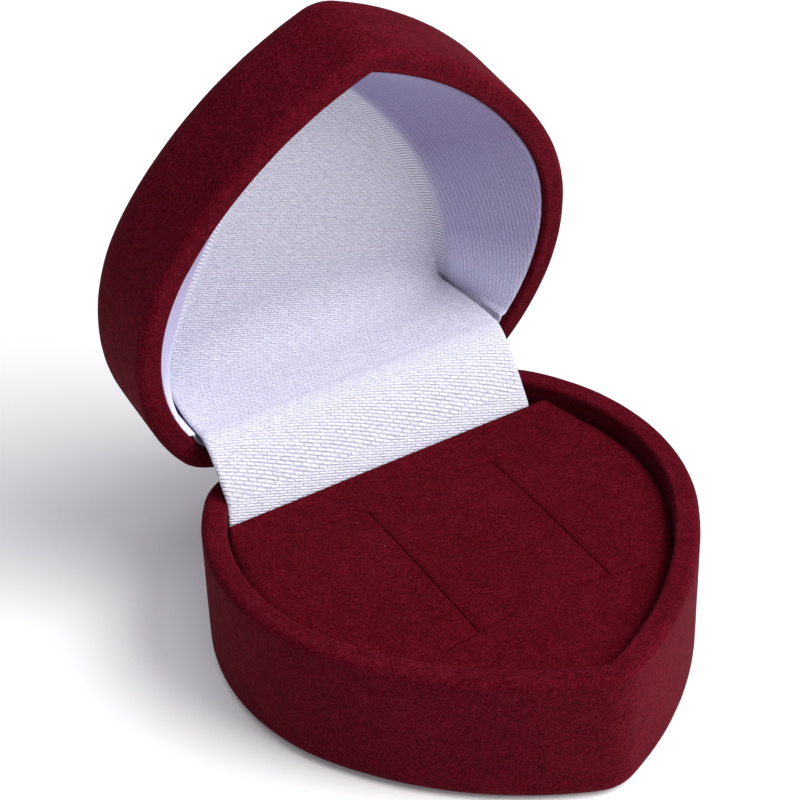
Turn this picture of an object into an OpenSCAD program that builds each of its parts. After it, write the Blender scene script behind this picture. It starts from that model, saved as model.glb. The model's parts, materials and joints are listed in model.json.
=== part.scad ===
// Heart-shaped flocked ring box, standing open.
// X runs along the hinge, -Y points to the heart's point and +Z is up.
// z = 0 is the underside of the base. The lid is drawn at its open stop.

/* [Outline] */
// Overall width across the two lobes
box_w = 60; // [57:0.5:64]
// Depth of the shallow cleft between the lobes at the back
cleft_d = 2.2; // [1.6:0.1:2.4]

/* [Shells] */
// Height of the base shell
base_h = 18.3; // [17.5:0.1:21]
// Height of the lid shell
lid_h = 14.4; // [14:0.1:17]
// Thickness of the shell walls
wall_t = 3.1; // [2.8:0.05:3.2]
// Thickness of the base's floor and of the lid's top
plate_t = 1.5; // [1.2:0.1:1.6]
// Rounding of the rims' outer edge
rim_r = 1.07; // [0.6:0.01:1.2]
// Rounding of the base's bottom edge
base_r = 2.2; // [1.4:0.1:2.6]
// Rounding of the lid's top edge
lid_r = 4.9; // [3:0.1:5]
// Gap between the two rims when the box is shut
rim_gap = 0.15; // [0.1:0.05:0.4]

/* [Lid opening] */
// Angle that the lid opens through
open_angle = 81.3; // [70:0.1:90]

/* [Ring pad] */
// Distance from the base's rim down to the pad's top
pad_drop = 2.0; // [1.5:0.1:3]
// Gap between the pad and the shell wall
pad_gap = 0.8; // [0.5:0.1:1.2]
// Thickness of the flocked sheet over the foam
cover_t = 0.6; // [0.5:0.05:0.8]
// Thickness of the card under the foam
board_t = 1.0; // [0.8:0.1:1.5]
// Width of the ring slits
slit_w = 0.3; // [0.2:0.05:0.5]
// Length of the ring slits from front to back
slit_l = 26; // [22:0.5:27]
// Length of the short cross cut at each end of a slit
bar_l = 8.5; // [6:0.5:9]

/* [Satin liner] */
// Depth of the liner's floor below the lid's rim
liner_depth = 12; // [11:0.1:12]
// Thickness of the formed satin liner
liner_t = 0.8; // [0.6:0.05:0.8]
// Distance of the liner's cut edge below the lid's rim
liner_lip = 0.7; // [0.5:0.1:1.5]
// Thickness of the loose satin flap
flap_t = 0.5; // [0.3:0.05:0.6]

/* [Hinge] */
// Thickness of the two stamped leaves
leaf_t = 0.5; // [0.4:0.05:0.6]
// Radius of the hinge pin
pin_r = 0.5; // [0.45:0.01:0.55]
// Running clearance between pin and knuckle
pin_play = 0.05; // [0.03:0.01:0.08]
// Outer radius of the knuckles
knuckle_r = 1.1; // [1:0.05:1.15]
// Wire radius of the torsion spring
wire_r = 0.15; // [0.12:0.01:0.16]

/* [Hidden] */
burgundy = [0.34, 0.03, 0.09];
pad_red = [0.38, 0.04, 0.08];
satin = [0.90, 0.90, 0.96];
steel = [0.72, 0.72, 0.70];
foam_grey = [0.30, 0.28, 0.29];
card = [0.62, 0.58, 0.52];

// Half of the heart's outline is a chain of tangent arcs: [radius, heading at its end].
k = box_w / 60;
r1 = 6.12 * k;  a1 = 23.15;   // rounded point
r2 = 49.87 * k; a2 = 60.4;    // long side
r3 = 29.45 * k; a3 = 128.06;  // cheek
r4 = 7.91 * k;                // back corner of the lobe
function dir(a) = [sin(a), -cos(a)];
c1 = [0, -36.9 * k + r1];
c2 = c1 + (r1 - r2) * dir(a1);
c3 = c2 + (r2 - r3) * dir(a2);
c4 = c3 + (r3 - r4) * dir(a3);
rear_y = c4.y + r4;
cleft_w = 9 * k;
function cleft(x) = cleft_d * (1 + cos(180 * x / cleft_w)) / 2;

function arc(c, r, a, b, n) = [for (i = [1:n]) c + r * dir(a + (b - a) * i / n)];
// Right half from the point round to the middle of the back, moved inwards by d
function half_outer(d) = concat([[0, c1.y - r1 + d]],
    arc(c1, r1 - d, 0, a1, 4), arc(c2, r2 - d, a1, a2, 9),
    arc(c3, r3 - d, a2, a3, 14), arc(c4, r4 - d, a3, 180, 8),
    [for (i = [0:6]) let (x = cleft_w * (1 - i / 6)) [x, rear_y - d - cleft(x)]]);
// Start heading of the long side where it meets the middle plane in a sharp point
function a0(d) = asin(-c2.x / (r2 - d));
// Heading on the cheek where it reaches a given y
function a_at(d, y) = acos((c3.y - y) / (r3 - d));
// Right half of an inner outline with a sharp point, cut straight across at y
function half_inner(d, y) = concat([c2 + (r2 - d) * dir(a0(d))],
    arc(c2, r2 - d, a0(d), a2, 10), arc(c3, r3 - d, a2, a_at(d, y), 14));
function mirrored(h) = [for (i = [len(h) - 1:-1:0]) if (h[i].x > 0.001) [-h[i].x, h[i].y]];
function loop(h) = concat(h, mirrored(h));

// A solid through rings of [inset, z], lowest first
module loft(rings) {
    o = [for (r = rings) loop(half_outer(r[0]))];
    n = len(o[0]);
    m = len(rings);
    polyhedron(
        points = [for (j = [0:m - 1]) for (q = o[j]) [q.x, q.y, rings[j][1]]],
        faces = concat([[for (i = [0:n - 1]) i]],
            [for (j = [0:m - 2]) for (i = [0:n - 1])
                let (a = j * n + i, b = j * n + (i + 1) % n)
                    each [[a, a + n, b + n], [a, b + n, b]]],
            [[for (i = [n - 1:-1:0]) (m - 1) * n + i]]),
        convexity = 6);
}

// Hinge axis: just behind the lobes and a little under the rims
hinge_y = rear_y + 0.2;
hinge_z = base_h - 1.3;
lid_z = base_h + rim_gap;
seat_y = rear_y - cleft_d - wall_t - 0.15;
seat_w = 9.4;
knuckle_end = 8.4;
notch_w = knuckle_end + 0.5;
rivet_x = 5.5;
rivet_r = 0.6;
rivet_drop = 7;
module opened() translate([0, hinge_y, hinge_z]) rotate([-open_angle, 0, 0])
    translate([0, -hinge_y, -hinge_z]) children();
function open_pt(p) = let (y = p[0] - hinge_y, z = p[1] - hinge_z)
    [hinge_y + y * cos(open_angle) + z * sin(open_angle),
     hinge_z - y * sin(open_angle) + z * cos(open_angle)];

// Outline of both hollows, with a thick flat seat for the hinge leaf at the back
function hollow() = let (d = wall_t, h = concat([c2 + (r2 - d) * dir(a0(d))],
        arc(c2, r2 - d, a0(d), a2, 10), arc(c3, r3 - d, a2, a3, 14),
        arc(c4, r4 - d, a3, 180, 8), [[seat_w, rear_y - d], [seat_w, seat_y]]))
    loop(h);

module rivet_holes(z) for (x = [-rivet_x, rivet_x])
    translate([x, seat_y - 1, z]) rotate([-90, 0, 0])
        cylinder(r = rivet_r + 0.03, h = 3.4, $fn = 24);

base_draft = 0.2;
lid_draft = 0.17;
module base_shell() color(burgundy) difference() {
    loft(concat([[base_draft + base_r, -0.5]],
        [for (a = [90:-22.5:0]) [base_draft + base_r * (1 - cos(a)), base_r * (1 - sin(a))]],
        [for (a = [0:22.5:90]) [rim_r * (1 - cos(a)), base_h - rim_r * (1 - sin(a))]]));
    translate([-60, -60, -2]) cube([120, 120, 2]);
    translate([0, 0, plate_t]) linear_extrude(base_h) polygon(hollow());
    translate([-notch_w, seat_y - 2, hinge_z - 1.3]) cube([2 * notch_w, 12, 5]);
    rivet_holes(hinge_z - rivet_drop);
}

module lid_shell() color(burgundy) opened() difference() {
    loft(concat(
        [for (a = [90:-22.5:0]) [rim_r * (1 - cos(a)), lid_z + rim_r * (1 - sin(a))]],
        [for (a = [0:15:90]) [lid_draft + lid_r * (1 - cos(a)), lid_z + lid_h - lid_r * (1 - sin(a))]]));
    translate([0, 0, lid_z - 1]) linear_extrude(1 + lid_h - plate_t) polygon(hollow());
    rivet_holes(hinge_z + rivet_drop);
}

// Ring pad: card, slit foam and a flocked sheet folded down over the sides
pad_top = base_h - pad_drop;
pad_rear = 13.0 * k;
pad_in = wall_t + pad_gap;
foam_z = plate_t + board_t;
slit_x = [10.3, -7.9];
slit_y = -6.8;
module pad_outline(d) polygon(loop(half_inner(d, pad_rear - (d - pad_in))));
module slits(z, h) for (x = slit_x) {
    translate([x - slit_w / 2, slit_y - slit_l / 2, z]) cube([slit_w, slit_l, h]);
    for (s = [-1, 1]) translate([x - bar_l / 2, slit_y + s * slit_l / 2 - slit_w / 2, z])
        cube([bar_l, slit_w, h]);
}
module pad_board() color(card)
    translate([0, 0, plate_t]) linear_extrude(board_t) pad_outline(pad_in + 0.3);
module pad_foam() color(foam_grey) difference() {
    translate([0, 0, foam_z]) linear_extrude(pad_top - cover_t - foam_z)
        pad_outline(pad_in + cover_t);
    slits(pad_top - cover_t - 9, 12);
}
module pad_cover() color(pad_red) difference() {
    translate([0, 0, foam_z + 3]) linear_extrude(pad_top - foam_z - 3) pad_outline(pad_in);
    translate([0, 0, foam_z - 1]) linear_extrude(pad_top - cover_t - foam_z + 1)
        pad_outline(pad_in + cover_t);
    slits(pad_top - 2, 4);
}

// Hinge leaf on a seat: plate, two arms and two knuckles. side = -1 hangs below
// the hinge axis and is the base's, side = 1 stands above it and is the lid's.
module leaf(side, x0, x1) {
    difference() {
        union() {
            translate([-knuckle_end, seat_y - leaf_t, side > 0 ? hinge_z + 0.1 : hinge_z - 11])
                cube([2 * knuckle_end, leaf_t, 10.9]);
            for (s = [-1, 1]) {
                translate([s > 0 ? x0 : -x1, seat_y - leaf_t, side > 0 ? hinge_z + 0.1 : hinge_z - 0.1 - leaf_t])
                    cube([x1 - x0, hinge_y - seat_y + leaf_t, leaf_t]);
                translate([s > 0 ? x0 : -x1, hinge_y, hinge_z]) rotate([0, 90, 0])
                    cylinder(r = knuckle_r, h = x1 - x0, $fn = 48);
            }
        }
        translate([-20, hinge_y, hinge_z]) rotate([0, 90, 0])
            cylinder(r = pin_r + pin_play, h = 40, $fn = 48);
        for (x = [-rivet_x, rivet_x])
            translate([x, seat_y - 2, hinge_z + side * rivet_drop]) rotate([-90, 0, 0])
                cylinder(r = rivet_r + 0.03, h = 3, $fn = 24);
    }
}
module rivets(z) for (x = [-rivet_x, rivet_x])
    translate([x, seat_y - leaf_t, z]) rotate([-90, 0, 0]) {
        cylinder(r = rivet_r, h = leaf_t + 2.3, $fn = 24);
        translate([0, 0, -0.4]) cylinder(r = 1.1, h = 0.4, $fn = 32);
    }
module base_hinge_leaf() color(steel) leaf(-1, 5.4, knuckle_end);
module lid_hinge_leaf() color(steel) opened() leaf(1, 2.6, 5.2);
module base_hinge_rivets() color(steel) rivets(hinge_z - rivet_drop);
module lid_hinge_rivets() color(steel) opened() rivets(hinge_z + rivet_drop);
module hinge_pin() color(steel) translate([0, hinge_y, hinge_z]) rotate([0, 90, 0]) {
    translate([0, 0, -knuckle_end - 0.1]) cylinder(r = pin_r, h = 2 * knuckle_end + 0.2, $fn = 48);
    for (z = [-knuckle_end - 0.35, knuckle_end + 0.1])
        translate([0, 0, z]) cylinder(r = pin_r + 0.3, h = 0.25, $fn = 32);
}

// Torsion spring: 4 turns round the pin, one leg to each leaf
coil_r = pin_r + 0.35;
coil_w = 2;
coil_end = 90 - open_angle + 4 * 360;
function coil_pt(a) = [-coil_w + 2 * coil_w * (a + 90) / (coil_end + 90),
    hinge_y + coil_r * cos(a), hinge_z + coil_r * sin(a)];
leg_l = hinge_y - seat_y - 0.35;
wire_path = concat([[-coil_w, hinge_y - leg_l, hinge_z - coil_r], [-coil_w, hinge_y - leg_l / 2, hinge_z - coil_r]],
    [for (i = [0:64]) coil_pt(-90 + (coil_end + 90) * i / 64)],
    [for (t = [0.5, 1]) coil_pt(coil_end) + t * leg_l * [0, -sin(coil_end), cos(coil_end)]]);
module hinge_spring() color(steel) {
    n = len(wire_path);
    s = 8;
    polyhedron(points = [for (i = [0:n - 1])
            let (t0 = wire_path[min(i + 1, n - 1)] - wire_path[max(i - 1, 0)], t = t0 / norm(t0),
                 u0 = cross(t, [1, 0, 0]), u = u0 / norm(u0), v = cross(t, u))
            for (j = [0:s - 1]) wire_path[i] + wire_r * (u * cos(j * 360 / s) + v * sin(j * 360 / s))],
        faces = concat([[for (j = [s - 1:-1:0]) j]],
            [for (i = [0:n - 2]) for (j = [0:s - 1])
                let (a = i * s + j, b = i * s + (j + 1) % s)
                    each [[a, b, b + s], [a, b + s, a + s]]],
            [[for (j = [0:s - 1]) (n - 1) * s + j]]),
        convexity = 8);
}

// Satin liner: a sloped wall from the cut edge at the rim to a narrower floor
liner_in = wall_t + 0.2;
liner_rear = pad_rear + 0.1;
floor_c = [-57, 27.9] * k;   // centre of the arc that the floor's edge follows
floor_r = 78.4 * k;
function half_floor() = let (
        a_tip = acos(-floor_c.x / floor_r),
        l2 = (r2 - liner_in) * (a2 - a0(liner_in)),
        l3 = (r3 - liner_in) * (a_at(liner_in, liner_rear) - a2),
        f = concat([for (i = [0:10]) l2 * i / 10 / (l2 + l3)],
            [for (i = [1:14]) (l2 + l3 * i / 14) / (l2 + l3)]),
        e = asin((liner_rear - floor_c.y) / floor_r))
    [for (s = f) let (q = -a_tip + (e + a_tip) * s) floor_c + floor_r * [cos(q), sin(q)]];
function lerp(a, b, t) = a + (b - a) * t;
function full(h) = concat([for (i = [len(h) - 1:-1:1]) [-h[i].x, h[i].y]], h);
module lid_liner() color(satin) opened() {
    rim = full(half_inner(liner_in, liner_rear));
    flo = full(half_floor());
    n = len(rim);
    // [share of the way from rim to floor edge, depth]
    w = liner_lip;
    prof = [[0, w], [0.45, lerp(w, liner_depth, 0.45)], [0.86, lerp(w, liner_depth, 0.86)],
            [0.95, lerp(w, liner_depth, 0.95)], [1.05, liner_depth - 0.1], [1.12, liner_depth]];
    m = len(prof);
    pts = [for (p = prof) for (i = [0:n - 1]) let (
            q = lerp(rim[i], flo[i], p[0]),
            y = min(q.y, liner_rear)) [q.x, y, lid_z + p[1]]];
    edge = concat([for (i = [0:n - 1]) i], [for (j = [1:m - 1]) j * n + n - 1],
                  [for (j = [m - 1:-1:1]) j * n]);
    N = m * n;
    polyhedron(points = concat(pts, [for (p = pts) p + [0, 0, liner_t]]),
        faces = concat(
            [for (j = [0:m - 2]) for (i = [0:n - 2]) let (a = j * n + i)
                each [[a, a + 1, a + n + 1], [a, a + n + 1, a + n]]],
            [[for (i = [0:n - 1]) (m - 1) * n + i]],
            [for (j = [0:m - 2]) for (i = [0:n - 2]) let (a = N + j * n + i)
                each [[a, a + n + 1, a + 1], [a, a + n, a + n + 1]]],
            [[for (i = [n - 1:-1:0]) N + (m - 1) * n + i]],
            [for (i = [0:len(edge) - 1]) let (a = edge[i], b = edge[(i + 1) % len(edge)])
                each [[a, a + N, b + N], [a, b + N, b]]]),
        convexity = 8);
}

// Loose flap of the same satin, from behind the pad up to the liner's floor
flap_x0 = -21.8 * k;
flap_x1 = 20.85 * k;
flap_y = pad_rear + 0.1 + flap_t / 2;
flap_lo = [[flap_y, pad_top - 7], [flap_y, pad_top - 0.9], [flap_y + 0.5, pad_top + 0.5], [flap_y + 1.35, pad_top + 1.8]];
flap_hi = [for (p = [[0.1, 0.3], [0.1, 3.5], [0.1, 7.5], [0.1, liner_depth + liner_t - 0.05]])
    open_pt([liner_rear + flap_t / 2 + p[0], lid_z + p[1]])];
flap_mid = let (a = flap_lo[3], b = flap_hi[0], c = [hinge_y - 2.4, hinge_z + 7])
    [for (t = [0.17:0.16:0.9]) a * (1 - t) * (1 - t) + c * 2 * t * (1 - t) + b * t * t];
flap_path = concat(flap_lo, flap_mid, flap_hi);
module satin_flap() color(satin) {
    n = len(flap_path);
    nrm = [for (i = [0:n - 1]) let (t = flap_path[min(i + 1, n - 1)] - flap_path[max(i - 1, 0)])
        [-t[1], t[0]] / norm(t) * flap_t / 2];
    translate([flap_x0, 0, 0]) rotate([90, 0, 90]) linear_extrude(flap_x1 - flap_x0)
        polygon(concat([for (i = [0:n - 1]) flap_path[i] - nrm[i]],
                       [for (i = [n - 1:-1:0]) flap_path[i] + nrm[i]]));
}

base_shell();
pad_board();
pad_foam();
pad_cover();
base_hinge_leaf();
base_hinge_rivets();
hinge_pin();
hinge_spring();
lid_shell();
lid_liner();
satin_flap();
lid_hinge_leaf();
lid_hinge_rivets();
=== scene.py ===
import json
import math
import bpy
import bmesh
import numpy as np
from mathutils import Matrix, Vector


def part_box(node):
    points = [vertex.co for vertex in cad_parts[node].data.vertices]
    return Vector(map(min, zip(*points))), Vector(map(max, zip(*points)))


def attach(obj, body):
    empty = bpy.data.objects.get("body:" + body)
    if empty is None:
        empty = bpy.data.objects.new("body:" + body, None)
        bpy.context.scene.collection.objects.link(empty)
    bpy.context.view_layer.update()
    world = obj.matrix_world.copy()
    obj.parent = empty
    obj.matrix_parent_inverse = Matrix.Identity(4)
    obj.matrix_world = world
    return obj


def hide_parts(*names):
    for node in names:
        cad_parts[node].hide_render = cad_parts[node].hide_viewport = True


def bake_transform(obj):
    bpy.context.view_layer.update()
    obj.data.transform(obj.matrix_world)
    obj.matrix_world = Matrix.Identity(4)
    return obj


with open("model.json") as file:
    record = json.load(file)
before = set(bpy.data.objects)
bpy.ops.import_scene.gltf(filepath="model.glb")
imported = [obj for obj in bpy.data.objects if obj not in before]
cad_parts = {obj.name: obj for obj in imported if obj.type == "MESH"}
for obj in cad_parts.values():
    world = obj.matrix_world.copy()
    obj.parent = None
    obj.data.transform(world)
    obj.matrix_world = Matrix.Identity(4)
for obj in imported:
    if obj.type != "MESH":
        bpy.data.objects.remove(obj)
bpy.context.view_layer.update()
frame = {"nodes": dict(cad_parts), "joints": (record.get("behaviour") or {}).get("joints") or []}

MM = 0.001
scene = bpy.context.scene
nodes = frame["nodes"]
joint = next(j for j in frame["joints"] if j["name"] == "lid_hinge")
OPEN = math.radians(joint["range_deg"][1])
HY, HZ = joint["pos_m"][1] / MM, joint["pos_m"][2] / MM

# ------------------------------------------------------------------ outline
# The heart's half outline is a chain of tangent arcs, the same as the shells' own.
R1, R2, R3, R4 = 6.12, 49.87, 29.45, 7.91
A1, A2, A3 = (math.radians(a) for a in (23.15, 60.4, 128.06))


def D(a):
    return np.array([np.sin(a), -np.cos(a)])


C1 = np.array([0.0, -36.9 + R1])
C2 = C1 + (R1 - R2) * D(A1)
C3 = C2 + (R2 - R3) * D(A2)
C4 = C3 + (R3 - R4) * D(A3)
REAR = C4[1] + R4
CLEFT_D, CLEFT_W = 2.2, 9.0
BASE_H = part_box("base_shell")[1].z / MM
GAP = 0.15
LID_Z = BASE_H + GAP
LID_H = 14.4
WALL = 3.1
PLATE = 1.5
RIM_R = 1.07
SEAT_Y = REAR - CLEFT_D - WALL - 0.15


def arc(c, r, a, b, n):
    t = np.linspace(a, b, n + 1)[1:]
    return np.c_[c[0] + r * np.sin(t), c[1] - r * np.cos(t)]


def a0(d):
    return math.asin(-C2[0] / (R2 - d))


def a_at(d, y):
    return math.acos((C3[1] - y) / (R3 - d))


def half_ring(d, sharp=0.0, n=(12, 64, 64, 34, 30)):
    """Right half from the point to the middle of the back, moved in by d."""
    tip_round = np.r_[[[0.0, C1[1] - R1 + d]], arc(C1, max(R1 - d, 0.05), 0, A1, n[0])]
    t = np.linspace(a0(min(d, 6)), A1, n[0] + 1)
    tip_sharp = np.c_[C2[0] + (R2 - d) * np.sin(t), C2[1] - (R2 - d) * np.cos(t)]
    tip_sharp[0, 0] = 0.0
    tip = tip_round * (1 - sharp) + tip_sharp * sharp
    x = np.linspace(CLEFT_W, 0, n[4] + 1)
    x = np.r_[np.linspace(C4[0], CLEFT_W, 9)[1:-1], x]
    cl = np.where(np.abs(x) < CLEFT_W, CLEFT_D * (1 + np.cos(np.pi * x / CLEFT_W)) / 2, 0)
    rear = np.c_[x, REAR - d - cl]
    return np.r_[tip, arc(C2, R2 - d, A1, A2, n[1]), arc(C3, R3 - d, A2, A3, n[2]),
                 arc(C4, R4 - d, A3, math.pi, n[3]), rear]


def ring(d, sharp=0.0):
    h = half_ring(d, sharp)
    return np.r_[h, np.c_[-h[-2:0:-1, 0], h[-2:0:-1, 1]]]


def half_inner(d, y, n=(110, 130), end=None):
    """Right half of an inner outline with a sharp point, up to a given y on the cheek."""
    p0 = np.array([[0.0, C2[1] - (R2 - d) * math.cos(a0(d))]])
    return np.r_[p0, arc(C2, R2 - d, a0(d), A2, n[0]), arc(C3, R3 - d, A2, a_at(d, y), n[1])]


def opened(p):
    """Lid points from the shut position (mm) to the open one."""
    p = np.array(p, float)
    y, z = p[:, 1] - HY, p[:, 2] - HZ
    c, s = math.cos(OPEN), math.sin(OPEN)
    return np.c_[p[:, 0], HY + y * c + z * s, HZ - y * s + z * c]


# ------------------------------------------------------------------ mesh helpers
def hash3(p, f, seed):
    """Smooth value noise in -1..1 at points p (mm), f cycles per mm."""
    q = p * f + seed * 17.13
    i = np.floor(q).astype(np.int64)
    u = q - i
    u = u * u * (3 - 2 * u)

    def h(a, b, c):
        n = (a * 73856093) ^ (b * 19349663) ^ (c * 83492791) ^ (seed * 2654435761)
        n = (n ^ (n >> 13)) * 1274126177 & 0x7FFFFFFF
        return (n ^ (n >> 16)) % 65536 / 32768.0 - 1
    r = 0
    for dx in (0, 1):
        for dy in (0, 1):
            for dz in (0, 1):
                w = (u[:, 0] if dx else 1 - u[:, 0]) * (u[:, 1] if dy else 1 - u[:, 1]) * (u[:, 2] if dz else 1 - u[:, 2])
                r = r + w * h(i[:, 0] + dx, i[:, 1] + dy, i[:, 2] + dz)
    return r


def make(name, verts_mm, faces, smooth=True):
    me = bpy.data.meshes.new(name)
    me.from_pydata((np.asarray(verts_mm) * MM).tolist(), [], faces)
    me.validate()
    me.update()
    o = bpy.data.objects.new(name, me)
    scene.collection.objects.link(o)
    if smooth:
        me.polygons.foreach_set("use_smooth", [True] * len(me.polygons))
    return o


def weld(o, dist=1e-6):
    bm = bmesh.new()
    bm.from_mesh(o.data)
    bmesh.ops.remove_doubles(bm, verts=bm.verts, dist=dist)
    bmesh.ops.recalc_face_normals(bm, faces=bm.faces)
    bm.to_mesh(o.data)
    bm.free()
    o.data.update()


def displace(o, amount_mm, freq, seed):
    """Soft unevenness along the normals, in the mesh itself."""
    me = o.data
    n = len(me.vertices)
    co = np.zeros(n * 3)
    no = np.zeros(n * 3)
    me.vertices.foreach_get("co", co)
    me.vertices.foreach_get("normal", no)
    co, no = co.reshape(-1, 3), no.reshape(-1, 3)
    p = co / MM
    h = hash3(p, freq, seed) * 0.6 + hash3(p, freq * 2.3, seed + 3) * 0.4
    co = co + no * (h * amount_mm * MM)[:, None]
    me.vertices.foreach_set("co", co.ravel())
    me.update()


def grid_faces(nr, nc, wrap=True):
    f = []
    for j in range(nr - 1):
        for i in range(nc if wrap else nc - 1):
            a, b = j * nc + i, j * nc + (i + 1) % nc
            f.append((a, b, b + nc, a + nc))
    return f


# ------------------------------------------------------------------ flocked shells
def shell_profile(h, edge_r, draft, inner_r=0.55):
    """[inset, height above the plate, sharpness of the point] from the plate's centre out, over the rim and in."""
    p = []
    for d in (5.6, 4.2):
        if d > draft + edge_r + 0.3:
            p.append((d, 0.0, 0.0))
    for t in np.linspace(90, 0, 15):
        t = math.radians(t)
        p.append((draft + edge_r * (1 - math.cos(t)), edge_r * (1 - math.sin(t)), 0.0))
    zs = np.linspace(edge_r, h - RIM_R, 16)
    for z in zs[1:-1]:
        p.append((draft * (1 - (z - edge_r) / (h - RIM_R - edge_r)), z, 0.0))
    for t in np.linspace(0, 90, 11):
        t = math.radians(t)
        p.append((RIM_R * (1 - math.cos(t)), h - RIM_R + RIM_R * math.sin(t), 0.0))
    for d in np.linspace(RIM_R, WALL - inner_r, 6)[1:-1]:
        p.append((d, h, 0.5 * (d - RIM_R)))
    for t in np.linspace(0, 90, 9):
        t = math.radians(t)
        p.append((WALL - inner_r + inner_r * math.sin(t), h - inner_r + inner_r * math.cos(t), 0.85))
    for z in np.linspace(h - inner_r, PLATE, 12)[1:]:
        p.append((WALL, z, 0.85))
    return p


def shell(name, h, edge_r, draft, notch):
    prof = shell_profile(h, edge_r, draft)
    pts = []
    n = len(ring(0.0))
    for d, z, s in prof:
        r = ring(d, s)
        zz = np.full(n, z)
        if notch:   # the rim dips at the back, where the hinge's barrel and arms pass
            t = np.clip((notch + 0.45 - np.abs(r[:, 0])) / 0.5, 0, 1)
            t = t * t * (3 - 2 * t)
            t = np.where(r[:, 1] > 10, t, 0)
            low = HZ - 1.3
            zz = zz * (1 - t * (1 - low / h)) if z > 0 else zz
        if d >= WALL - 0.01 or (d > 2 and s > 0.5):  # flat seat behind the cleft
            y = np.where((np.abs(r[:, 0]) < 9.4) & (r[:, 1] > 10), np.minimum(r[:, 1], SEAT_Y + (WALL - d)), r[:, 1])
            r = np.c_[r[:, 0], y]
        pts.append(np.c_[r, zz])
    v = np.concatenate(pts)
    f = grid_faces(len(prof), n)
    m = len(prof)
    f.append(tuple(range(n - 1, -1, -1)))
    f.append(tuple((m - 1) * n + i for i in range(n)))
    return v, f


v, f = shell("base", BASE_H, 2.2, 0.2, 8.9)
base = make("base_shell_flocked", v, f)
v, f = shell("lid", LID_H, 4.9, 0.17, 0)
v = v.copy()
v[:, 2] = LID_Z + LID_H - v[:, 2]
lid = make("lid_shell_flocked", opened(v), f)
for o, body, node, seed in ((base, "base", "base_shell", 1), (lid, "lid", "lid_shell", 2)):
    weld(o)
    displace(o, 0.035, 0.22, seed)
    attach(o, body)
    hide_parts(node)

# ------------------------------------------------------------------ ring pad
PAD_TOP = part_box("pad_cover")[1].z / MM
PAD_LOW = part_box("pad_cover")[0].z / MM
PAD_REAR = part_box("pad_cover")[1].y / MM
PAD_IN = WALL + 0.22
SLITS = [(10.3, 0.010), (-7.9, 0.035)]     # x at the middle, slant
SLIT_Y, SLIT_L, BAR_L = -6.8, 26.0, 8.5


def pad_loop(d, n=(120, 120)):
    h = half_inner(d, PAD_REAR - (d - PAD_IN), n)
    m = np.r_[h, np.c_[-h[:0:-1, 0], h[:0:-1, 1]]]
    back = np.linspace(h[-1, 0], -h[-1, 0], 90)[1:-1]
    # the rear edge runs straight across the middle
    y = h[-1, 1] + 0.0 * back
    k = len(h)
    return np.r_[m[:k], np.c_[back, y], m[k:]]


def segments():
    s = []
    for x, k in SLITS:
        y0, y1 = SLIT_Y - SLIT_L / 2, SLIT_Y + SLIT_L / 2
        top = np.array([x + k * SLIT_L / 2, y1])
        low = np.array([x - k * SLIT_L / 2, y0])
        s.append((top, low))
        for c, tilt in ((top, -0.16), (low, -0.12 if x > 0 else 0.10)):
            s.append((c - np.array([BAR_L / 2, tilt * BAR_L / 2]), c + np.array([BAR_L / 2, tilt * BAR_L / 2])))
    return s


SEG = segments()


def seg_dist(p, segs=None):
    best = np.full(len(p), 1e9)
    side = np.zeros(len(p))
    for a, b in segs or SEG:
        ab = b - a
        t = np.clip(((p - a) @ ab) / (ab @ ab), 0, 1)
        q = a + t[:, None] * ab
        d = np.hypot(*(p - q).T)
        cr = (p[:, 0] - a[0]) * ab[1] - (p[:, 1] - a[1]) * ab[0]
        side = np.where(d < best, np.sign(cr), side)
        best = np.minimum(best, d)
    return best, side


def edge_dist(p, outline):
    best = np.full(len(p), 1e9)
    for k in range(0, len(outline)):
        a, b = outline[k], outline[(k + 1) % len(outline)]
        ab = b - a
        t = np.clip(((p - a) @ ab) / max(ab @ ab, 1e-12), 0, 1)
        q = a + t[:, None] * ab
        best = np.minimum(best, np.hypot(*(p - q).T))
    return best


def inside(p, outline):
    x, y = p[:, 0], p[:, 1]
    c = np.zeros(len(p), bool)
    a = outline
    b = np.roll(outline, -1, 0)
    for (x0, y0), (x1, y1) in zip(a, b):
        hit = ((y0 > y) != (y1 > y)) & (x < (x1 - x0) * (y - y0) / (y1 - y0 + 1e-12) + x0)
        c ^= hit
    return c


def pad_height(p, e):
    """Top of the pad: crowned, with a rolled edge and the slits' grooves."""
    r = 0.3 + 1.55 * np.clip((12.3 - p[:, 1]) / 5, 0, 1)
    z = np.where(e < r, PAD_TOP - r + np.sqrt(np.maximum(r * r - (r - np.minimum(e, r)) ** 2, 0)), PAD_TOP)
    crown = 0.55 * (1 - np.exp(-((e / 7.0) ** 1.3)))
    d, side = seg_dist(p)
    groove = -0.34 * np.exp(-(d / 0.11) ** 2) - 0.07 * np.exp(-(d / 0.6) ** 2)
    db, _ = seg_dist(p, [SEG[i] for i in (1, 2, 4, 5)])
    groove = groove - 0.30 * np.exp(-(db / 0.13) ** 2)
    lip = 0.06 * side * np.exp(-((d - 0.28) / 0.22) ** 2)
    p3 = np.c_[p, np.zeros(len(p))]
    wav = 0.10 * hash3(p3, 0.11, 21) + 0.035 * hash3(p3, 0.4, 22)
    rear = 0.42 * np.clip((p[:, 1] - 9.5) / 3.5, 0, 1) ** 2
    return z - 0.12 + rear + crown + groove + lip + wav * np.clip(e / 2, 0, 1)


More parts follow.
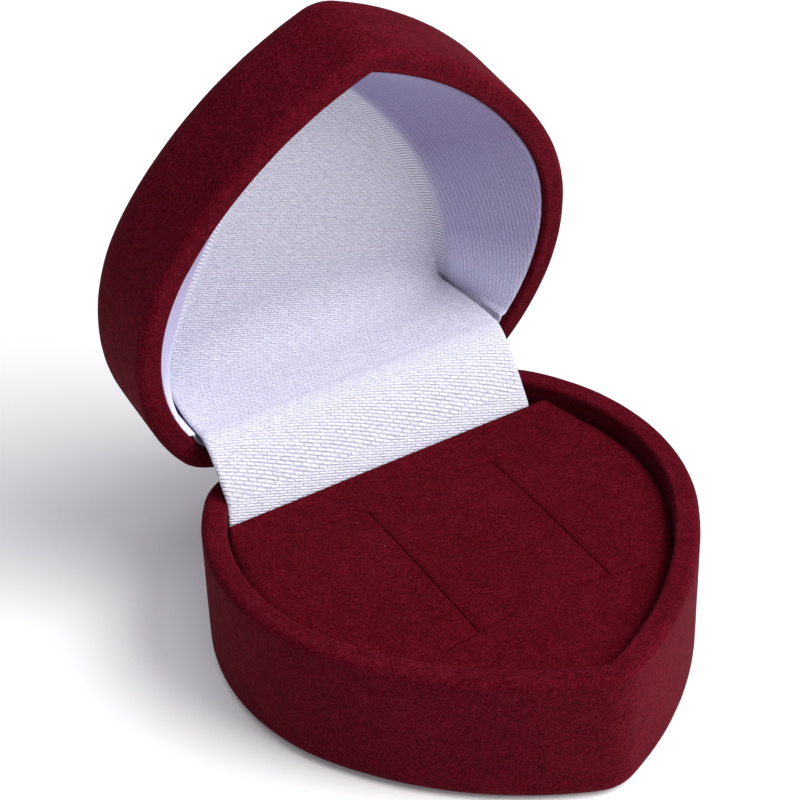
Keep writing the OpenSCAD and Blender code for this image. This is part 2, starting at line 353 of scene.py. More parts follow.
outline = pad_loop(PAD_IN)
rings_p = [outline]
for d in (0.08, 0.2, 0.4, 0.65, 0.95, 1.3, 1.7, 2.15):
    rings_p.append(pad_loop(PAD_IN + d))
pts = []
g = 0.62
rows = np.arange(-36, 16, g * 0.866)
for j, y in enumerate(rows):
    xs = np.arange(-26, 26, g) + (g / 2 if j % 2 else 0)
    pts.append(np.c_[xs, np.full(len(xs), y)])
pts = np.concatenate(pts)
pts = pts[inside(pts, outline)]
e = edge_dist(pts, rings_p[-1][::2])
pts = pts[inside(pts, rings_p[-1]) & (e > 0.35)]
d, _ = seg_dist(pts)
pts = pts[d > 0.95]
extra = []
for a, b in SEG:
    L = np.hypot(*(b - a))
    t = (b - a) / L
    nrm = np.array([-t[1], t[0]])
    for off in (0, 0.07, 0.14, 0.22, 0.34, 0.5, 0.72):
        for s in ((1, -1) if off else (1,)):
            step = 0.2 if off < 0.3 else 0.36
            u = np.arange(-off * 0.0, L + 1e-6, step)
            q = a + u[:, None] * t + s * off * nrm
            # keep clear of the other cuts' lines
            keep = np.ones(len(q), bool)
            for a2, b2 in SEG:
                if a2 is a:
                    continue
                ab = b2 - a2
                tt = np.clip(((q - a2) @ ab) / (ab @ ab), 0, 1)
                dd = np.hypot(*(q - (a2 + tt[:, None] * ab)).T)
                keep &= dd > (0.06 if off == 0 else max(0.05, off * 0.8))
            extra.append(q[keep])
extra = np.concatenate(extra)
allp = np.concatenate(rings_p + [extra, pts])
allp = np.round(allp, 4)
_, ui = np.unique(allp, axis=0, return_index=True)
ui = np.sort(ui)
nb = len(outline)
keep_first = np.arange(nb)
ui = np.r_[keep_first, ui[ui >= nb]]
allp = allp[ui]
from mathutils.geometry import delaunay_2d_cdt
edges = [(i, (i + 1) % nb) for i in range(nb)]
res = delaunay_2d_cdt([Vector(p) for p in allp.tolist()], edges, [], 1, 1e-5)
P2 = np.array([tuple(p) for p in res[0]])
tris = [tuple(t) for t in res[2]]
e = edge_dist(P2, outline)
e[e < 1e-3] = 0
Z = pad_height(P2, e)
top = np.c_[P2, Z]
# skirt down to the cover's lower edge
loop_idx = []
look = {tuple(np.round(p, 3)): i for i, p in enumerate(P2)}
for p in outline:
    i = look.get(tuple(np.round(p, 3)))
    if i is None:
        i = int(np.argmin(np.hypot(*(P2 - p).T)))
    loop_idx.append(i)
n0 = len(top)
sk = []
zrim = Z[loop_idx]
for q in (0.25, 0.6, 1.0):
    inn = pad_loop(PAD_IN + 0.15 * q)
    sk.append(np.c_[inn, zrim * (1 - q) + PAD_LOW * q])
verts = np.concatenate([top] + sk)
faces = [t if (P2[t[1]][0] - P2[t[0]][0]) * (P2[t[2]][1] - P2[t[0]][1]) - (P2[t[1]][1] - P2[t[0]][1]) * (P2[t[2]][0] - P2[t[0]][0]) > 0 else t[::-1] for t in tris]
prev = loop_idx
for k in range(3):
    cur = [n0 + k * nb + i for i in range(nb)]
    for i in range(nb):
        a, b = prev[i], prev[(i + 1) % nb]
        c, d_ = cur[(i + 1) % nb], cur[i]
        faces.append((b, a, d_, c))
    prev = cur
pad = make("pad_velvet", verts, faces)
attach(pad, "base")
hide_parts("pad_cover")

# ------------------------------------------------------------------ satin liner and flap, one sheet
LIN_IN = WALL + 0.2
LIN_REAR = PAD_REAR + 0.1
SHELF = 13.0      # y of the shelf at the lid's rim, lid shut
FC, FR = np.array([-57.0, 27.9]), 78.4
DEPTH, LIP = 12.0, 0.7


def liner_curves(n):
    """n+1 points each on the cut edge at the rim and on the floor's edge, from the back to the point (right side)."""
    l2 = (R2 - LIN_IN) * (A2 - a0(LIN_IN))
    l3 = (R3 - LIN_IN) * (a_at(LIN_IN, LIN_REAR) - A2)
    s = 1 - np.linspace(0, 1, n + 1)
    L = s * (l2 + l3)
    rim = np.zeros((n + 1, 2))
    for i, l in enumerate(L):
        if l <= l2:
            a = a0(LIN_IN) + (A2 - a0(LIN_IN)) * l / l2
            rim[i] = C2 + (R2 - LIN_IN) * D(a)
        else:
            a = A2 + (l - l2) / (R3 - LIN_IN)
            rim[i] = C3 + (R3 - LIN_IN) * D(a)
    at = math.acos(-FC[0] / FR)
    ee = math.asin((LIN_REAR - FC[1]) / FR)
    q = -at + (ee + at) * s
    flo = np.c_[FC[0] + FR * np.cos(q), FC[1] + FR * np.sin(q)]
    return rim, flo


NF = 120      # rows on the floor
rim, flo = liner_curves(NF)
edge = rim + (flo - rim) * 1.10
edge[:, 1] = np.minimum(edge[:, 1], LIN_REAR)
edge[-1, 0] = 0.0
NU = 72       # columns across the sheet
CORNER_Y = SHELF


def tilt(u):
    """The shelf lies level in the open box, most of all at its two edges."""
    return 0.055 + 0.095 * np.abs(u) ** 1.5


def reach(y):
    return np.clip((y - 1.0) / (CORNER_Y - 1.0), 0, 1) ** 1.5


def soft_R(u):
    return 1.3 + 5.2 * (1 - np.abs(u) ** 3)


U = np.linspace(-1, 1, NU + 1)
rows_v, rows_uv, rows_kind = [], [], []
# floor rows from the point to the back
arc_v = 0.0
for j in range(NF, -1, -1):
    hx, y = edge[j]
    x = U * hx
    R = soft_R(U)
    ty = np.clip((y - (CORNER_Y - R)) / R, 0, 1)
    a = ty * math.pi / 4
    yy = np.where(ty > 0, CORNER_Y - R + R * np.sin(a), y)
    dd = np.where(ty > 0, DEPTH - R + R * np.cos(a), DEPTH)
    share = np.clip(hx / 20.0, 0, 1)
    puff = 0.30 * (1 - U ** 2) * share * np.clip((CORNER_Y - y) / 8, 0, 1)
    z = LID_Z + dd - puff
    sh = tilt(U) * np.clip(dd - 0.3, 0, None) * reach(np.full_like(U, y))
    x = x * (1 + 0.19 * tilt(1.0) * (DEPTH - 0.3) * float(reach(y)) / max(hx, 1.0))
    rows_v.append(opened(np.c_[x, yy + sh, z]))
    rows_uv.append(np.c_[x, np.full(NU + 1, CORNER_Y - y)])
n_floor = len(rows_v)
# shelf rows from the corner out to the rim plane, then down to the pad
xr0 = edge[0, 0] + 0.19 * tilt(1.0) * (DEPTH - 0.3)
xl0 = -xr0


def shelf_width(t):
    """Right and left edge of the flap, t from 0 at the floor to 1 at the rim."""
    e = 1 - (1 - t) ** 2
    return xr0 + (20.85 - xr0) * e, xl0 + (-21.85 - xl0) * e


v_acc = 0.0
for i, dep in enumerate(np.linspace(DEPTH, 0.3, 27)[1:]):
    t = (DEPTH - dep) / (DEPTH - 0.3)
    xr, xl = shelf_width(t)
    x = xl + (xr - xl) * (U + 1) / 2
    R = soft_R(U)
    td = np.clip((dep - (DEPTH - R)) / R, 0, 1)
    a = math.pi / 2 - td * math.pi / 4
    yy = np.where(td > 0, CORNER_Y - R + R * np.sin(a), CORNER_Y)
    dd = np.where(td > 0, DEPTH - R + R * np.cos(a), dep)
    sag = 0.25 * (1 - U ** 2) * math.sin(math.pi * t)
    sh = tilt(U) * np.clip(dd - 0.3, 0, None)
    rows_v.append(opened(np.c_[x, yy + sag + sh, LID_Z + dd]))
    rows_uv.append(np.c_[x, np.full(NU + 1, -(DEPTH - dep))])
last = rows_v[-1]
v0 = -(DEPTH - 0.3)
B = np.array([14.75, 18.15])
for t in np.linspace(0, 1, 22)[1:]:
    a = last[:, 1:3]
    c = np.array([HY - 1.75, HZ + 8.3])
    p = a * (1 - t) ** 2 + c * 2 * t * (1 - t) + B * t * t
    xr, xl = 20.85, -21.85 - 0.05 * t
    x = xl + (xr - xl) * (U + 1) / 2
    rows_v.append(np.c_[x, p])
    rows_uv.append(np.c_[x, np.full(NU + 1, v0 - 9.6 * t)])
v1 = v0 - 9.6
FY = PAD_REAR + 0.35
tuck = np.array([[14.4, 17.65], [14.05, 17.1], [13.75, 16.6], [13.52, 16.05], [FY + 0.03, 15.4], [FY, 14.6], [FY, 13.4], [FY, 12.0], [FY, 10.6], [FY, 9.3]])
acc = 0.0
prevp = B
for q in tuck:
    acc += float(np.hypot(*(q - prevp)))
    prevp = q
    k = np.clip((18.15 - q[1]) / 2.0, 0, 1)
    xr, xl = 20.85, -21.9 - 0.62 * k
    x = xl + (xr - xl) * (U + 1) / 2
    rows_v.append(np.c_[x, np.full(NU + 1, q[0]), np.full(NU + 1, q[1])])
    rows_uv.append(np.c_[x, np.full(NU + 1, v1 - acc)])
n_rows = len(rows_v)
V = np.concatenate(rows_v)
UVv = np.concatenate(rows_uv)
KIND = np.zeros(len(V))
F = grid_faces(n_rows, NU + 1, wrap=False)
# walls: from the floor's edge out to the cut edge at the rim
NW = 30
NX = 16


def behind(t):
    """Cut edge and floor edge behind the shelf, t from 0 at the liner's end to 1."""
    a_s, a_e = a_at(LIN_IN, LIN_REAR), math.radians(158)
    l3, l4 = (R3 - LIN_IN) * (A3 - a_s), (R4 - LIN_IN) * (a_e - A3)
    l = t * (l3 + l4)
    if l <= l3:
        r = C3 + (R3 - LIN_IN) * D(a_s + l / (R3 - LIN_IN))
    else:
        r = C4 + (R4 - LIN_IN) * D(A3 + (l - l3) / (R4 - LIN_IN))
    q = math.asin((LIN_REAR + 2.6 * t - FC[1]) / FR)
    return r, FC + FR * np.array([math.cos(q), math.sin(q)])


per = np.r_[0, np.cumsum(np.hypot(*np.diff(flo, axis=0).T))]
wall_v, wall_uv, wall_k = [], [], []
wall_F = []
base_i = len(V)
for side in (1, -1):
    col = NU if side > 0 else 0
    start = base_i + sum(len(w) for w in wall_v)
    blk, blk_uv, blk_k = [], [], []
    for j in range(-NX, NF + 1):
        if j >= 0:
            ej, fj, rj, pj = edge[j], flo[j], rim[j], per[j]
        else:           # behind the shelf the wall runs on towards the lid's corner
            rj, fj = behind(-j / NX)
            ej = rj + (fj - rj) * 1.10
            pj = 3.6 * j / NX
        a_ = np.array([ej[0], ej[1], DEPTH])
        w_ = rj + (fj - rj) * 0.84
        w3 = np.array([w_[0], w_[1], LIP + (DEPTH - LIP) * 0.84])
        m_ = np.array([fj[0], fj[1], DEPTH - 0.02])
        r3 = np.array([rj[0], rj[1], LIP])
        line = []
        for t in np.linspace(0, 1, 10):
            line.append(a_ * (1 - t) ** 2 + m_ * 2 * t * (1 - t) + w3 * t * t)
        for t in np.linspace(0, 1, NW - 9)[1:]:
            q = w3 * (1 - t) + r3 * t
            sagw = 0.35 * math.sin(math.pi * t)      # the stretched wall is a little hollow
            q = q + np.array([0.5, 0.0, 0.5]) * sagw
            line.append(q)
        line = np.array(line)
        lenw = np.r_[0, np.cumsum(np.linalg.norm(np.diff(line, axis=0), axis=1))]
        sh = tilt(1.0) * np.clip(line[:, 2] - 0.3, 0, None) * reach(line[:, 1])
        p = np.c_[(line[:, 0] + 0.19 * sh) * side, line[:, 1] + sh, LID_Z + line[:, 2]]
        if j < 0:       # stay inside the lid's hollow
            dx, dy = np.abs(p[:, 0]) - C4[0], p[:, 1] - C4[1]
            far = np.hypot(dx, dy)
            k = np.where((dx > 0) & (dy > 0) & (far > R4 - LIN_IN), (R4 - LIN_IN) / np.maximum(far, 1e-6), 1.0)
            p[:, 0] = (C4[0] + dx * k) * side
            p[:, 1] = C4[1] + dy * k
        q = opened(p)
        if j >= 0:
            q[0] = rows_v[NF - j][col]      # shared with the floor
        blk.append(q)
        blk_uv.append(np.c_[np.full(len(line), pj) * side, lenw])
        kk = np.clip(lenw / lenw[9], 0, 1) * 0.5 + np.clip((lenw - lenw[9]) / (lenw[-1] - lenw[9]), 0, 1) * 0.5
        blk_k.append(np.maximum(kk, 0.02))
    m = len(blk[0])
    blk, blk_uv, blk_k = map(np.concatenate, (blk, blk_uv, blk_k))
    wall_v.append(blk)
    wall_uv.append(blk_uv)
    wall_k.append(blk_k)
    for j in range(NF + NX):
        for i in range(m - 1):
            a = start + j * m + i
            quad = (a, a + 1, a + m + 1, a + m)
            wall_F.append(quad if side > 0 else quad[::-1])
V = np.concatenate([V] + wall_v)
UVv = np.concatenate([UVv] + wall_uv)
KIND = np.concatenate([KIND] + wall_k)
F = F + wall_F
me = bpy.data.meshes.new("satin_liner")
me.from_pydata((V * MM).tolist(), [], F)
me.update()
uv = me.uv_layers.new(name="weave")
li = np.zeros(len(me.loops), np.int32)
me.loops.foreach_get("vertex_index", li)
uv.data.foreach_set("uv", UVv[li].astype(np.float32).ravel())
# per-corner kind of surface, so that the weld keeps floor and wall apart
kc = me.color_attributes.new(name="zone", type="FLOAT_COLOR", domain="CORNER")
colr = np.zeros((len(li), 4), np.float32)
colr[:, 0] = KIND[li]
colr[:, 3] = 1
kc.data.foreach_set("color", colr.ravel())
liner = bpy.data.objects.new("satin_liner", me)
scene.collection.objects.link(liner)
bm = bmesh.new()
bm.from_mesh(me)
bmesh.ops.remove_doubles(bm, verts=bm.verts, dist=2e-6)
bmesh.ops.dissolve_degenerate(bm, edges=bm.edges, dist=1e-7)
bmesh.ops.recalc_face_normals(bm, faces=bm.faces)
bm.to_mesh(me)
bm.free()
# the visible side faces the viewer of an open lid (-Y on the floor)
cen = np.array([p.center for p in me.polygons])
nor = np.array([p.normal for p in me.polygons])
sel = (cen[:, 2] > 0.045) & (np.abs(cen[:, 0]) < 0.006)
if nor[sel, 1].mean() > 0:
    me.flip_normals()
me.polygons.foreach_set("use_smooth", [True] * len(me.polygons))
sol = liner.modifiers.new("thickness", "SOLIDIFY")
sol.thickness = 0.0003
sol.offset = -1
sol.use_even_offset = False
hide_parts("lid_liner", "satin_flap")
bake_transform(liner)

# ------------------------------------------------------------------ torsion spring of the hinge
SPR, WIRE, SX = 0.85, 0.15, 2.0
phi = np.linspace(-math.pi / 2, math.radians(90 - 81.3 + 1440), 190)
coil = np.c_[np.linspace(-SX, SX, len(phi)), HY + SPR * np.cos(phi), HZ + SPR * np.sin(phi)]
leg1 = np.c_[np.full(9, -SX), np.linspace(HY - 5.3, HY, 10)[:-1], np.full(9, HZ - SPR)]
tan_e = np.array([0.0, -math.sin(phi[-1]), math.cos(phi[-1])])
leg2 = coil[-1] + np.linspace(0, 5.3, 10)[1:, None] * tan_e
path = np.r_[leg1, coil, leg2]
tv, tf = [], []
NS = 10
for i, p in enumerate(path):
    t = path[min(i + 1, len(path) - 1)] - path[max(i - 1, 0)]
    t = t / np.linalg.norm(t)
    a_ = np.cross(t, [1.0, 0, 0])
    a_ = a_ / np.linalg.norm(a_)
    b_ = np.cross(t, a_)
    for k in range(NS):
        w_ = 2 * math.pi * k / NS
        tv.append(p + WIRE * (math.cos(w_) * a_ + math.sin(w_) * b_))
tf = grid_faces(len(path), NS)
tf.append(tuple(range(NS - 1, -1, -1)))
tf.append(tuple((len(path) - 1) * NS + k for k in range(NS)))
spring = make("torsion_spring_wire", tv, tf)
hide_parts("hinge_spring")
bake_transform(spring)

# ------------------------------------------------------------------ materials
def new_mat(name):
    m = bpy.data.materials.new(name)
    m.use_nodes = True
    nt = m.node_tree
    for n in list(nt.nodes):
        if n.type != "OUTPUT_MATERIAL" and n.type != "BSDF_PRINCIPLED":
            nt.nodes.remove(n)
    return m, nt, nt.nodes["Principled BSDF"]


def noise(nt, vec, scale, detail=3.0, rough=0.55, dist=0.0):
    n = nt.nodes.new("ShaderNodeTexNoise")
    n.inputs["Scale"].default_value = scale
    n.inputs["Detail"].default_value = detail
    n.inputs["Roughness"].default_value = rough
    n.inputs["Distortion"].default_value = dist
    nt.links.new(vec, n.inputs["Vector"])
    return n.outputs["Fac"]


def ramp(nt, fac, stops):
    r = nt.nodes.new("ShaderNodeValToRGB")
    el = r.color_ramp.elements
    el[0].position, el[0].color = stops[0][0], (*stops[0][1], 1)
    el[1].position, el[1].color = stops[-1][0], (*stops[-1][1], 1)
    for pos, c in stops[1:-1]:
        x = el.new(pos)
        x.color = (*c, 1)
    nt.links.new(fac, r.inputs["Fac"])
    return r.outputs["Color"]


def math_node(nt, op, a, b=None, clamp=False):
    n = nt.nodes.new("ShaderNodeMath")
    n.operation = op
    n.use_clamp = clamp
    for i, x in enumerate((a, b)):
        if x is None:
            continue
        if isinstance(x, (int, float)):
            n.inputs[i].default_value = x
        else:
            nt.links.new(x, n.inputs[i])
    return n.outputs[0]


def mix_col(nt, fac, a, b, mode="MIX"):
    n = nt.nodes.new("ShaderNodeMix")
    n.data_type = "RGBA"
    n.blend_type = mode
    for sock, x in ((n.inputs[0], fac), (n.inputs[6], a), (n.inputs[7], b)):
        if isinstance(x, (int, float)):
            sock.default_value = x
        elif isinstance(x, tuple):
            sock.default_value = (*x, 1)
        else:
            nt.links.new(x, sock)
    return n.outputs[2]


def bump(nt, height, strength, distance, prev=None):
    b = nt.nodes.new("ShaderNodeBump")
    b.inputs["Strength"].default_value = strength
    b.inputs["Distance"].default_value = distance
    nt.links.new(height, b.inputs["Height"])
    if prev is not None:
        nt.links.new(prev, b.inputs["Normal"])
    return b.outputs["Normal"]


def obj_coord(nt):
    t = nt.nodes.new("ShaderNodeTexCoord")
    return t.outputs["Object"]


def velvet(name, dark, mid, light, sheen, tint, lint=False):
    m, nt, bs = new_mat(name)
    oc = obj_coord(nt)
    fine = noise(nt, oc, 5200, 2.0, 0.6)
    grain = noise(nt, oc, 2100, 3.0, 0.65)
    mott = noise(nt, oc, 420, 4.0, 0.6, 0.4)
    big = noise(nt, oc, 75, 3.0, 0.5)
    a = math_node(nt, "MULTIPLY", fine, 0.50)
    b = math_node(nt, "MULTIPLY", grain, 0.30)
    c = math_node(nt, "MULTIPLY", mott, 0.12)
    d = math_node(nt, "MULTIPLY", big, 0.08)
    s = math_node(nt, "ADD", math_node(nt, "ADD", a, b), math_node(nt, "ADD", c, d))
    col = ramp(nt, s, [(0.38, dark), (0.50, mid), (0.63, light)])
    if lint:
        vo = nt.nodes.new("ShaderNodeTexVoronoi")
        vo.inputs["Scale"].default_value = 430
        vo.inputs["Randomness"].default_value = 1.0
        nt.links.new(oc, vo.inputs["Vector"])
        near = math_node(nt, "LESS_THAN", vo.outputs["Distance"], 0.042)
        sep = nt.nodes.new("ShaderNodeSeparateColor")
        nt.links.new(vo.outputs["Color"], sep.inputs[0])
        few = math_node(nt, "GREATER_THAN", sep.outputs[0], 0.72)
        fac = math_node(nt, "MULTIPLY", math_node(nt, "MULTIPLY", near, few), 0.35)
        col = mix_col(nt, fac, col, (0.42, 0.16, 0.19))
    nt.links.new(col, bs.inputs["Base Color"])
    bs.inputs["Roughness"].default_value = 0.95
    bs.inputs["Specular IOR Level"].default_value = 0.04
    bs.inputs["Sheen Weight"].default_value = sheen
    bs.inputs["Sheen Roughness"].default_value = 0.42
    bs.inputs["Sheen Tint"].default_value = (*tint, 1)
    n1 = bump(nt, grain, 0.55, 0.00022)
    n2 = bump(nt, fine, 0.5, 0.00012, n1)
    n3 = bump(nt, mott, 0.35, 0.0005, n2)
    nt.links.new(n3, bs.inputs["Normal"])
    return m


SHELL = velvet("burgundy_flock", (0.031, 0.0008, 0.0028), (0.073, 0.0016, 0.0062), (0.134, 0.0056, 0.0165), 0.10, (0.60, 0.07, 0.11))
PADM = velvet("pad_flock", (0.031, 0.0007, 0.0025), (0.067, 0.0013, 0.0047), (0.122, 0.0046, 0.0122), 0.10, (0.55, 0.03, 0.07), lint=True)
for o, m in ((base, SHELL), (lid, SHELL), (pad, PADM)):
    o.data.materials.append(m)


def satin():
    m, nt, bs = new_mat("white_satin_weave")
    uvn = nt.nodes.new("ShaderNodeUVMap")
    uvn.uv_map = "weave"
    sep = nt.nodes.new("ShaderNodeSeparateXYZ")
    nt.links.new(uvn.outputs["UV"], sep.inputs[0])
    u, v = sep.outputs[0], sep.outputs[1]
    at = nt.nodes.new("ShaderNodeAttribute")
    at.attribute_name = "zone"
    zs = nt.nodes.new("ShaderNodeSeparateColor")
    nt.links.new(at.outputs["Color"], zs.inputs[0])
    zone = zs.outputs[0]
    # slow wander of the grain
    big = noise(nt, uvn.outputs["UV"], 0.10, 2.0)
    wander = math_node(nt, "MULTIPLY", math_node(nt, "SUBTRACT", big, 0.5), 0.25)
    # the grain runs on a bias: steeper on the floor than on the flap
    down = math_node(nt, "MULTIPLY", v, -1 / 16, clamp=True)
    slope = math_node(nt, "SUBTRACT", 0.41, math_node(nt, "MULTIPLY", down, 0.10))
    uu = math_node(nt, "SUBTRACT", u, math_node(nt, "MULTIPLY", v, 0.36))
    vv = math_node(nt, "ADD", math_node(nt, "ADD", v, math_node(nt, "MULTIPLY", u, slope)), wander)
    comb = nt.nodes.new("ShaderNodeCombineXYZ")
    nt.links.new(uu, comb.inputs[0])
    nt.links.new(vv, comb.inputs[1])

    def bricks(vec, w, h, mortar, c1, c2, cm, off=0.5):
        b = nt.nodes.new("ShaderNodeTexBrick")
        b.offset = off
        b.offset_frequency = 2
        b.squash = 1.0
        b.inputs["Color1"].default_value = (*c1, 1)
        b.inputs["Color2"].default_value = (*c2, 1)
        b.inputs["Mortar"].default_value = (*cm, 1)
        b.inputs["Scale"].default_value = 1.0
        b.inputs["Mortar Size"].default_value = mortar
        b.inputs["Mortar Smooth"].default_value = 1.0
        b.inputs["Bias"].default_value = 0.0
        b.inputs["Brick Width"].default_value = w
        b.inputs["Row Height"].default_value = h
        nt.links.new(vec, b.inputs["Vector"])
        return b
    wob = nt.nodes.new("ShaderNodeTexNoise")
    wob.inputs["Scale"].default_value = 1.3
    wob.inputs["Detail"].default_value = 2.0
    nt.links.new(comb.outputs[0], wob.inputs["Vector"])
    addv = nt.nodes.new("ShaderNodeVectorMath")
    addv.operation = "MULTIPLY_ADD"
    nt.links.new(wob.outputs["Color"], addv.inputs[0])
    addv.inputs[1].default_value = (0.55, 0.06, 0)
    nt.links.new(comb.outputs[0], addv.inputs[2])
    br = bricks(addv.outputs[0], 1.15, 0.36, 0.14, (1, 1, 1), (0.55, 0.55, 0.55), (0.0, 0.0, 0.0))
    sv = nt.nodes.new("ShaderNodeMapping")
    sv.inputs["Scale"].default_value = (0.85, 2.9, 1)
    nt.links.new(comb.outputs[0], sv.inputs["Vector"])
    floats = noise(nt, sv.outputs[0], 1.15, 2.5, 0.6)
    floats = math_node(nt, "MULTIPLY", math_node(nt, "SUBTRACT", floats, 0.32), 2.6, clamp=True)
    floor_h = math_node(nt, "ADD", math_node(nt, "MULTIPLY", br.outputs["Color"], 0.68), math_node(nt, "MULTIPLY", floats, 0.38))
    # walls: fine cords up the wall, with ribs pulled out along the bend
    ribs = math_node(nt, "SINE", math_node(nt, "MULTIPLY", math_node(nt, "ADD", u, math_node(nt, "MULTIPLY", v, 0.35)), 2 * math.pi / 0.56))
    ribs = math_node(nt, "MULTIPLY", math_node(nt, "ADD", ribs, 1), 0.5)
    fine = noise(nt, comb.outputs[0], 2.6, 2.0)
    cords = math_node(nt, "SINE", math_node(nt, "MULTIPLY", v, 2 * math.pi / 0.55))
    cords = math_node(nt, "MULTIPLY", math_node(nt, "ADD", cords, 1), 0.5)
    wall_h = math_node(nt, "ADD", math_node(nt, "MULTIPLY", cords, 0.30), math_node(nt, "MULTIPLY", fine, 0.6))
    # masks from the zone: 0 floor, 0..0.5 bend, 0.5..1 wall
    on_wall = math_node(nt, "GREATER_THAN", zone, 0.01)
    bend_m = math_node(nt, "SUBTRACT", 1.0, math_node(nt, "MULTIPLY", math_node(nt, "ABSOLUTE", math_node(nt, "SUBTRACT", zone, 0.27)), 5.0), clamp=True)
    bend_m = math_node(nt, "MULTIPLY", bend_m, on_wall)
    mix1 = nt.nodes.new("ShaderNodeMix")
    mix1.data_type = "FLOAT"
    nt.links.new(bend_m, mix1.inputs[0])
    nt.links.new(wall_h, mix1.inputs[2])
    nt.links.new(ribs, mix1.inputs[3])
    mix2 = nt.nodes.new("ShaderNodeMix")
    mix2.data_type = "FLOAT"
    nt.links.new(math_node(nt, "MULTIPLY", math_node(nt, "SUBTRACT", zone, 0.02), 9.0, clamp=True), mix2.inputs[0])
    nt.links.new(floor_h, mix2.inputs[2])
    nt.links.new(mix1.outputs[0], mix2.inputs[3])
    height = mix2.outputs[0]
    col = ramp(nt, height, [(0.0, (0.25, 0.25, 0.35)), (0.5, (0.60, 0.60, 0.72)), (1.0, (0.84, 0.84, 0.90))])
    spark = noise(nt, comb.outputs[0], 3.1, 1.0)
    col = mix_col(nt, 0.3, col, ramp(nt, spark, [(0.3, (0.42, 0.42, 0.54)), (0.7, (0.74, 0.74, 0.84))]))
    # painted light and shade on the walls: near the back the wall colour is lifted by about a third, and towards the
    # point it is painted darker with a lilac cast, standing in for how the light falls on the walls
    shade_toward_point = math_node(nt, "MULTIPLY", math_node(nt, "ABSOLUTE", u), 1 / 24, clamp=True)
    # painted shade: this ramp darkens the wall with a lilac cast towards the point
    shade = ramp(nt, shade_toward_point, [(0.0, (1.0, 1.0, 1.0)), (0.12, (0.97, 0.97, 1.0)), (0.35, (0.60, 0.565, 0.69)), (1.0, (0.33, 0.285, 0.42))])
    painted_light_wall_mask = math_node(nt, "MULTIPLY", math_node(nt, "SUBTRACT", zone, 0.34), 5.0, clamp=True)
    # painted light: the wall colour is raised by about a third before the painted shade is applied
    wall_painted_light = mix_col(nt, 1.0, col, (1.32, 1.32, 1.36), "MULTIPLY")
    col = mix_col(nt, painted_light_wall_mask, col, mix_col(nt, 1.0, wall_painted_light, shade, "MULTIPLY"))
    # threads pulled out straight over the bend, where floor meets wall: the threads keep their white colour, and the
    # darkening in the gaps of the ribs is painted shade in the crease
    pulled = math_node(nt, "MULTIPLY", math_node(nt, "MULTIPLY", math_node(nt, "SUBTRACT", ribs, 0.45), 2.2, clamp=True), bend_m)
    rib_gap_painted_shade = math_node(nt, "MULTIPLY", math_node(nt, "MULTIPLY", math_node(nt, "SUBTRACT", 0.45, ribs), 2.2, clamp=True), bend_m)
    # painted shade: the gaps of the ribs in the crease are darkened towards dark lilac
    col = mix_col(nt, math_node(nt, "MULTIPLY", rib_gap_painted_shade, 0.5), col, (0.25, 0.24, 0.34))
    col = mix_col(nt, math_node(nt, "MULTIPLY", pulled, 0.72), col, (0.93, 0.93, 0.97))
    nt.links.new(col, bs.inputs["Base Color"])
    rr = math_node(nt, "ADD", math_node(nt, "MULTIPLY", spark, 0.25), 0.36)
    nt.links.new(rr, bs.inputs["Roughness"])
    bs.inputs["Specular IOR Level"].default_value = 0.35
    bs.inputs["Sheen Weight"].default_value = 0.15
    bs.inputs["Sheen Roughness"].default_value = 0.5
    bs.inputs["Sheen Tint"].default_value = (0.86, 0.85, 1.0, 1)
    n1 = bump(nt, height, 0.65, 0.00018)
    n2 = bump(nt, spark, 0.12, 0.0001, n1)
    nt.links.new(n2, bs.inputs["Normal"])
    return m


liner.data.materials.append(satin())


def steel():
    m, nt, bs = new_mat("zinc_plated_steel")
    oc = obj_coord(nt)
    mp = nt.nodes.new("ShaderNodeMapping")
    mp.inputs["Scale"].default_value = (1, 14, 14)
    nt.links.new(oc, mp.inputs["Vector"])
    n = noise(nt, mp.outputs[0], 260, 4.0, 0.6)
    spot = noise(nt, oc, 900, 3.0, 0.6)
    col = ramp(nt, n, [(0.3, (0.46, 0.45, 0.42)), (0.5, (0.60, 0.59, 0.56)), (0.75, (0.74, 0.73, 0.70))])
    nt.links.new(col, bs.inputs["Base Color"])
    bs.inputs["Metallic"].default_value = 1.0
    nt.links.new(math_node(nt, "ADD", math_node(nt, "MULTIPLY", spot, 0.3), 0.22), bs.inputs["Roughness"])
    nt.links.new(bump(nt, n, 0.12, 0.00006), bs.inputs["Normal"])
    return m


def foam():
    m, nt, bs = new_mat("grey_foam")
    oc = obj_coord(nt)
    vo = nt.nodes.new("ShaderNodeTexVoronoi")
    vo.inputs["Scale"].default_value = 1900
    nt.links.new(oc, vo.inputs["Vector"])
    col = ramp(nt, vo.outputs["Distance"], [(0.1, (0.012, 0.011, 0.012)), (0.6, (0.075, 0.070, 0.074))])
    nt.links.new(col, bs.inputs["Base Color"])
    bs.inputs["Roughness"].default_value = 1.0
    nt.links.new(bump(nt, vo.outputs["Distance"], 0.6, 0.0003), bs.inputs["Normal"])
    return m


def card():
    m, nt, bs = new_mat("grey_card_fibre")
    oc = obj_coord(nt)
    n = noise(nt, oc, 1500, 5.0, 0.7)
    col = ramp(nt, n, [(0.35, (0.22, 0.19, 0.16)), (0.65, (0.40, 0.36, 0.31))])
    nt.links.new(col, bs.inputs["Base Color"])
    bs.inputs["Roughness"].default_value = 0.9
    nt.links.new(bump(nt, n, 0.4, 0.0002), bs.inputs["Normal"])
    return m


def assign(node, mat):
    o = nodes[node]
    o.data.materials.clear()
    o.data.materials.append(mat)


ST = steel()
for nme in ("base_hinge_leaf", "lid_hinge_leaf", "hinge_pin", "base_hinge_rivets", "lid_hinge_rivets"):
    assign(nme, ST)
spring.data.materials.append(ST)
assign("pad_foam", foam())
assign("pad_board", card())
# the small metal parts are flat-shaded
for nme in ("base_hinge_leaf", "lid_hinge_leaf", "hinge_pin", "base_hinge_rivets", "lid_hinge_rivets"):
    o = nodes[nme]
    for p in o.data.polygons:
        p.use_smooth = False

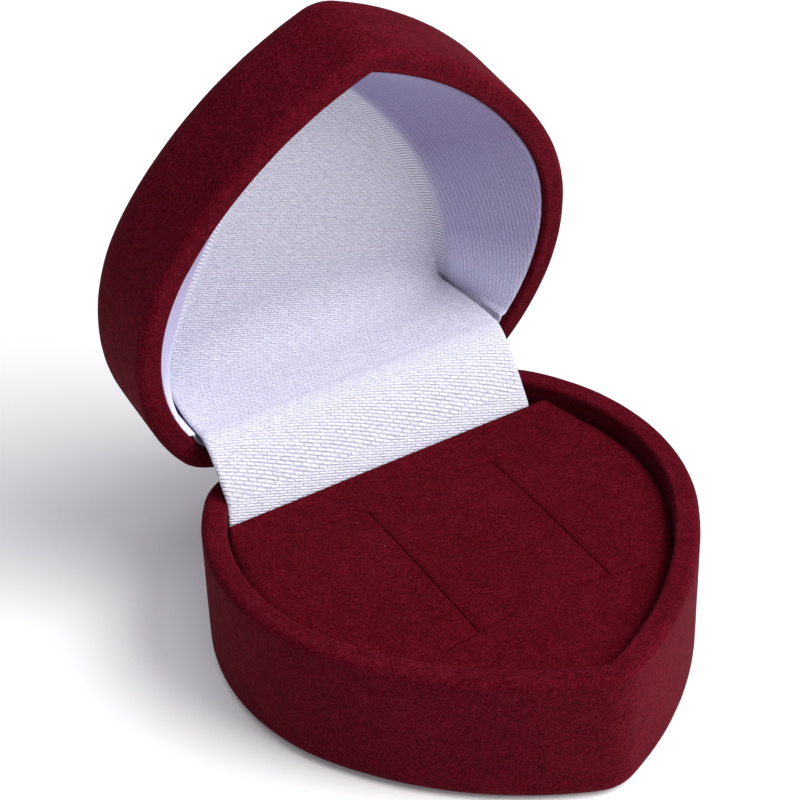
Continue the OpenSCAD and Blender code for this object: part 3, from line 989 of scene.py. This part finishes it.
# ------------------------------------------------------------------ stage, light, camera
fl = make("floor", [(-3000, -3000, 0), (3000, -3000, 0), (3000, 3000, 0), (-3000, 3000, 0)], [(0, 1, 2, 3)], smooth=False)
fl.location.z = -0.00002
fm, fnt, fbs = new_mat("pale_floor")
fbs.inputs["Base Color"].default_value = (0.93, 0.93, 0.93, 1)
fbs.inputs["Roughness"].default_value = 0.9
fbs.inputs["Emission Color"].default_value = (1, 1, 1, 1)
fbs.inputs["Emission Strength"].default_value = 0.10
fl.data.materials.append(fm)

w = bpy.data.worlds.new("studio")
scene.world = w
w.use_nodes = True
bg = w.node_tree.nodes["Background"]
bg.inputs[0].default_value = (0.84, 0.83, 1.0, 1)
bg.inputs[1].default_value = 0.17


def area(name, direction, dist, size, power, color=(1, 1, 1), target=(0.0, 0.0, 0.03)):
    L = bpy.data.lights.new(name, "AREA")
    L.shape = "DISK"
    L.size = size
    L.energy = power
    L.color = color
    o = bpy.data.objects.new(name, L)
    scene.collection.objects.link(o)
    d = Vector(direction).normalized()
    o.location = Vector(target) + d * dist
    o.rotation_euler = (-d).to_track_quat("-Z", "Y").to_euler()
    return o


area("key", (0.55, -0.58, 0.73), 1.0, 0.95, 17.0, (1.0, 0.985, 0.965))
area("top", (-0.15, -0.1, 1.0), 1.1, 0.9, 4.4, (0.97, 0.98, 1.0))

cam_d = bpy.data.cameras.new("camera")
cam = bpy.data.objects.new("camera", cam_d)
scene.collection.objects.link(cam)
fwd = Vector((0.40539, 0.67939, -0.61162)).normalized()
up0 = Vector((0.34126, 0.50822, 0.79073))
right = fwd.cross(up0).normalized()
up = right.cross(fwd).normalized()
cam.matrix_world = Matrix((
    (right.x, up.x, -fwd.x, -0.15396),
    (right.y, up.y, -fwd.y, -0.24766),
    (right.z, up.z, -fwd.z, 0.25329),
    (0, 0, 0, 1)))
cam_d.sensor_width = 36
cam_d.lens = 140.16
cam_d.shift_x = -0.001
cam_d.shift_y = 0.054
cam_d.clip_start = 0.01
cam_d.clip_end = 20
scene.camera = cam
scene.view_settings.view_transform = "Standard"
scene.view_settings.look = "None"
